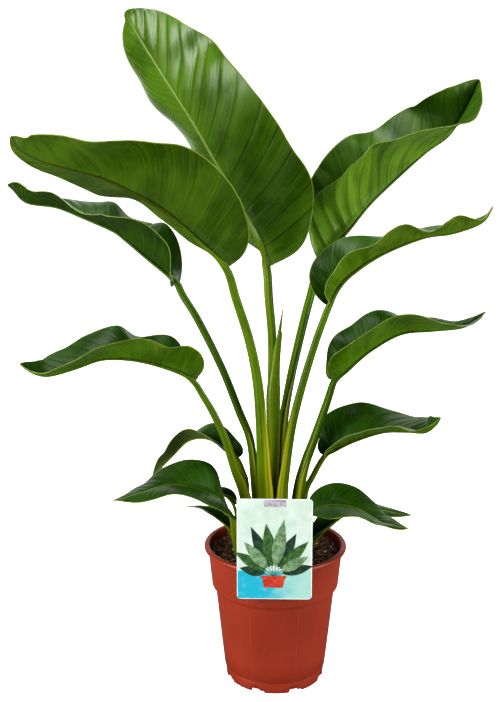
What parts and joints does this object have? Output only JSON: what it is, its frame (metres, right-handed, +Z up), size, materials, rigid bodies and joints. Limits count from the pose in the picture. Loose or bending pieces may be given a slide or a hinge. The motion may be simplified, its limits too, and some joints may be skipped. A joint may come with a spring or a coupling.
{
  "type": "potted bird of paradise",
  "caption": "Bird of paradise house plant with long channelled stalks and folded paddle leaves, standing in a soil-filled terracotta-coloured nursery pot with a picture card over its rim.",
  "frame": {"origin": "centre of the pot's underside, on the surface that the pot stands on", "axes": "+Z up; -Y towards the viewer of the picture, where the picture card hangs; +X to that viewer's right"},
  "size_m": [0.5689, 0.3516, 0.7831],
  "materials": {
    "pot": "moulded terracotta-coloured plastic, satin",
    "soil": "loose dark peat with bark fibres and white perlite",
    "card": "printed plastic card, satin",
    "leaf": "waxy green blade with fine parallel veins, glossy above, duller below",
    "stalk": "smooth waxy yellow-green stalk"
  },
  "bodies": {
    "root": {"pot": "pot", "soil": "soil", "card": "card", "leaf_1": "leaf", "leaf_2": "leaf", "leaf_3": "leaf", "leaf_4": "leaf", "leaf_5": "leaf", "leaf_6": "leaf", "leaf_7": "leaf", "leaf_8": "leaf", "leaf_9": "leaf", "leaf_10": "leaf", "leaf_11": "leaf", "leaf_12": "leaf", "leaf_13": "leaf", "leaf_14": "leaf", "spear": "stalk"}
  },
  "joints": []
}
